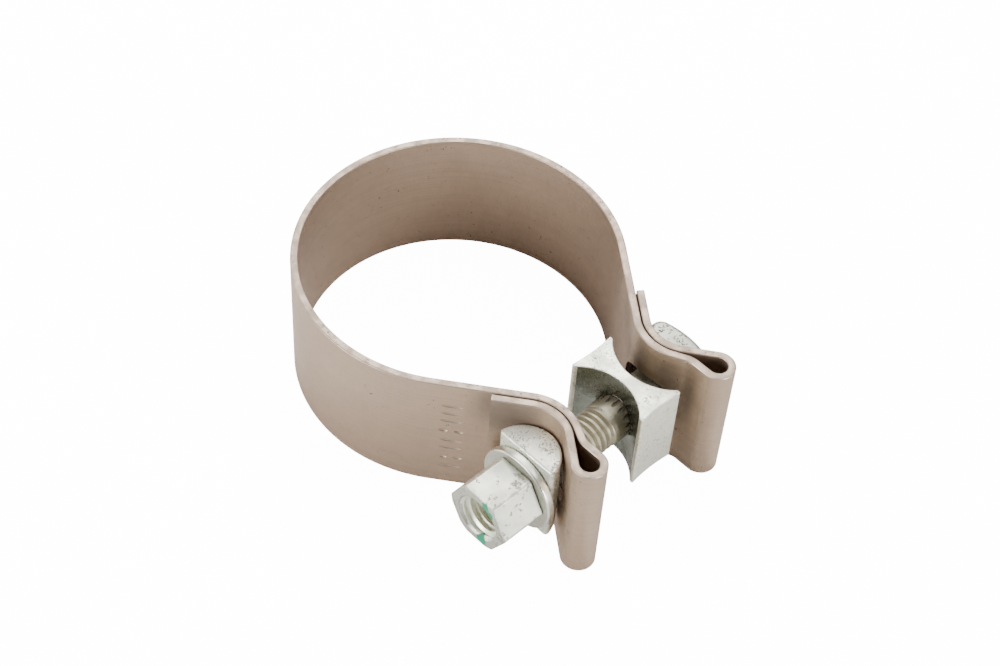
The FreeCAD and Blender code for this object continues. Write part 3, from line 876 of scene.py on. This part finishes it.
class CLAMP_OT_bolt(Operator):
    """Build the bolt with its half-round head"""

    bl_idname = "clamp.bolt"
    bl_label = "Bolt"

    def execute(self, context):
        _, hardware, finish = sizes_of(context)
        zinc, olive = Vector(finish.zinc), Vector(finish.bolt)
        metals = (
            metal("Blasted zinc head", zinc * 0.66, zinc * 0.54, rough=(0.48, 0.6),
                  speck=(2400.0, 0.16), peel=(2200.0, 0.8), relief=0.05),
            metal("Olive thread", olive * 0.96, olive * 0.78, metallic=0.75, rough=(0.42, 0.52),
                  cloud=420.0, speck=(2800.0, 0.1), relief=0.015),
            # painted shade: a darker copy of the olive thread metal for the roots of the
            # serrations
            metal("Knurl roots painted shade", olive * 0.75, olive * 0.5, metallic=0.6, rough=(0.5, 0.6),
                  cloud=420.0, speck=(2800.0, 0.1)),
        )
        build_bolt(hardware, metals)
        return {"FINISHED"}


class CLAMP_OT_block(Operator):
    """Build the reaction block"""

    bl_idname = "clamp.block"
    bl_label = "Reaction block"

    def execute(self, context):
        _, hardware, finish = sizes_of(context)
        zinc, shade = Vector(finish.zinc), Vector(finish.zinc_shade)
        metals = (
            metal("Satin zinc block", zinc * 1.16, zinc * 0.92, rough=(0.4, 0.52), cloud=260.0,
                  speck=(1800.0, 0.15), pit=(0.55, 0.56, 0.49), peel=(1500.0, 1.6), relief=0.16,
                  glint=(2300.0, 0.07)),
            metal("Drawn zinc hollow", shade * 1.15, shade * 0.8, rough=(0.2, 0.3), cloud=140.0,
                  stretch=(300.0, 300.0, 1400.0), grain=0.12, speck=(2400.0, 0.05), relief=0.012),
            metal("Burred bore lip", zinc * 1.1, zinc * 0.5, metallic=0.8, rough=(0.4, 0.5),
                  cloud=900.0, speck=(1500.0, 0.15), relief=0.03),
        )
        build_block(hardware, metals)
        return {"FINISHED"}


class CLAMP_OT_seat(Operator):
    """Build the half-round seat and the washer"""

    bl_idname = "clamp.seat"
    bl_label = "Seat and washer"

    def execute(self, context):
        _, hardware, finish = sizes_of(context)
        zinc = Vector(finish.zinc)
        seat = metal("Blasted zinc seat", zinc, zinc * 0.86, metallic=0.85, rough=(0.42, 0.56),
                     speck=(1900.0, 0.19), pit=(0.45, 0.45, 0.38), peel=(2100.0, 1.4), relief=0.12,
                     glint=(2600.0, 0.17))
        plate = metal("Punched washer", zinc * 0.82, zinc * 0.66, rough=(0.28, 0.4), cloud=160.0,
                      speck=(2400.0, 0.05), relief=0.015)
        build_spacer(hardware, (seat,))
        build_washer(hardware, (plate,))
        return {"FINISHED"}


class CLAMP_OT_nut(Operator):
    """Build the long nut with its paint dabs"""

    bl_idname = "clamp.nut"
    bl_label = "Long nut"

    def execute(self, context):
        _, hardware, finish = sizes_of(context)
        zinc, paint = Vector(finish.zinc), Vector(finish.paint)
        end = NUT_LOW.y
        soft, strength = 0.2 * MM, 1.0
        dabs = [((BOLT_X + across * MM, end, high * MM), wide * MM, soft, strength, paint)
                for across, high, wide in ((2.1, 5.8, 1.0), (3.3, 4.4, 1.2), (1.5, -5.7, 1.35))]
        metals = (
            metal("Turned zinc nut", zinc * 0.72, zinc * 0.57, rough=(0.38, 0.5), cloud=130.0,
                  speck=(1350.0, 0.18), pit=(0.36, 0.34, 0.27), relief=0.03, dabs=dabs),
            # the bore's thread is paler than the nut's outside: partly bare cut metal, partly
            # painted light that brightens the dim bore
            metal("Cut thread, partly painted light", zinc * 1.15, zinc * 0.95, metallic=0.75, rough=(0.34, 0.42),
                  cloud=200.0, speck=(2800.0, 0.02), peel=(2000.0, 0.0), relief=0.005, dabs=dabs),
        )
        build_nut(hardware, metals)
        return {"FINISHED"}


CAMERA_PLACE, CAMERA_TURNS = (0.20592, -0.20725, 0.33115), (40.613, -2.787, 46.146)   # degrees
LENS, SENSOR = 72.83, 36.0                                 # millimetres
FLOOR_HALF, FLOOR_GLOW = 6.0, 14.0
SKY, SKY_STRENGTH = (0.78, 0.8, 0.82, 1), 0.16
LIGHTS = (   # name, place, target, side in metres, power in watts
    ("overhead", (0.0, 0.12, 0.75), (0.02, 0, 0), 0.35, 2.5),
    ("high behind", (-0.34, 0.36, 0.56), (0.03, 0, 0), 0.4, 5.0),
    ("high right", (0.31, 0.35, 0.58), (0.03, 0, 0), 0.22, 1.5),
    ("low front", (-0.2, -0.76, 0.17), (0, 0, -0.01), 0.4, 9.5),
    ("far left", (-0.76, -0.2, 0.17), (0, 0, -0.01), 0.4, 4.0),
    ("low right", (0.74, 0.08, 0.13), (0.03, 0, -0.01), 0.3, 5.7),
)


def add_light(name, spot, target, size, power):
    """A square soft light that faces a point."""
    data = bpy.data.lights.new(name, "AREA")
    data.shape, data.size, data.energy = "SQUARE", size, power
    light = bpy.data.objects.new(name, data)
    bpy.context.scene.collection.objects.link(light)
    light.location = spot
    light.rotation_euler = (Vector(target) - Vector(spot)).to_track_quat("-Z", "Y").to_euler()


class CLAMP_OT_stage(Operator):
    """Build the floor, the soft lights and the camera"""

    bl_idname = "clamp.stage"
    bl_label = "Stage"

    def execute(self, context):
        scene = context.scene
        bm = bmesh.new()
        bmesh.ops.create_grid(bm, x_segments=1, y_segments=1, size=FLOOR_HALF)
        bmesh.ops.translate(bm, vec=-UP * STRIP_WIDTH / 2, verts=bm.verts)
        floor = to_object("floor", bm)
        if floor.data.polygons[0].normal.z < 0:
            floor.data.flip_normals()
        paper = bpy.data.materials.new("White paper")
        paper.use_nodes = True
        shader = paper.node_tree.nodes["Principled BSDF"]
        shader.inputs["Base Color"].default_value = (0.8, 0.8, 0.8, 1)
        shader.inputs["Roughness"].default_value = 0.9
        shader.inputs["Emission Color"].default_value = (1, 1, 1, 1)
        wire = Wiring(paper.node_tree)
        seen = wire.add("ShaderNodeLightPath", {}, out="Is Camera Ray")
        glow = wire.math("MULTIPLY", seen, FLOOR_GLOW)
        paper.node_tree.links.new(glow, shader.inputs["Emission Strength"])
        floor.data.materials.append(paper)

        world = bpy.data.worlds.new("Studio")
        world.use_nodes = True
        sky = world.node_tree.nodes["Background"]
        sky.inputs["Color"].default_value = SKY
        sky.inputs["Strength"].default_value = SKY_STRENGTH
        scene.world = world
        for light in LIGHTS:
            add_light(*light)

        data = bpy.data.cameras.new("camera")
        data.lens, data.sensor_width = LENS, SENSOR
        data.clip_start, data.clip_end = 0.01, 20
        data.dof.use_dof = False
        camera = bpy.data.objects.new("camera", data)
        scene.collection.objects.link(camera)
        camera.location = CAMERA_PLACE
        camera.rotation_euler = Euler([math.radians(turn) for turn in CAMERA_TURNS])
        scene.camera = camera
        return {"FINISHED"}


OPERATORS = (CLAMP_OT_band, CLAMP_OT_bolt, CLAMP_OT_block, CLAMP_OT_seat, CLAMP_OT_nut,
             CLAMP_OT_stage)
SETTINGS = {
    "clamp_band": ClampBandSizes,
    "clamp_hardware": ClampHardwareSizes,
    "clamp_finishes": ClampFinishes,
}


class CLAMP_PT_panel(Panel):
    """Lists the clamp's pieces in the sidebar"""

    bl_label = "Band clamp"
    bl_idname = "CLAMP_PT_panel"
    bl_space_type = "VIEW_3D"
    bl_region_type = "UI"
    bl_category = "Clamp"

    def draw(self, context):
        for operator in OPERATORS:
            self.layout.operator(operator.bl_idname)


CLASSES = (*SETTINGS.values(), *OPERATORS, CLAMP_PT_panel)


def register():
    """Register the classes and hang the settings on the scene."""
    for cls in CLASSES:
        bpy.utils.register_class(cls)
    for name, group in SETTINGS.items():
        setattr(bpy.types.Scene, name, PointerProperty(type=group))


def unregister():
    """Undo register."""
    for name in SETTINGS:
        delattr(bpy.types.Scene, name)
    for cls in reversed(CLASSES):
        bpy.utils.unregister_class(cls)


def main():
    """Build every piece and the stage."""
    register()
    bpy.ops.clamp.band()
    bpy.ops.clamp.bolt()
    bpy.ops.clamp.block()
    bpy.ops.clamp.seat()
    bpy.ops.clamp.nut()
    bpy.ops.clamp.stage()


if __name__ == "__main__":
    main()
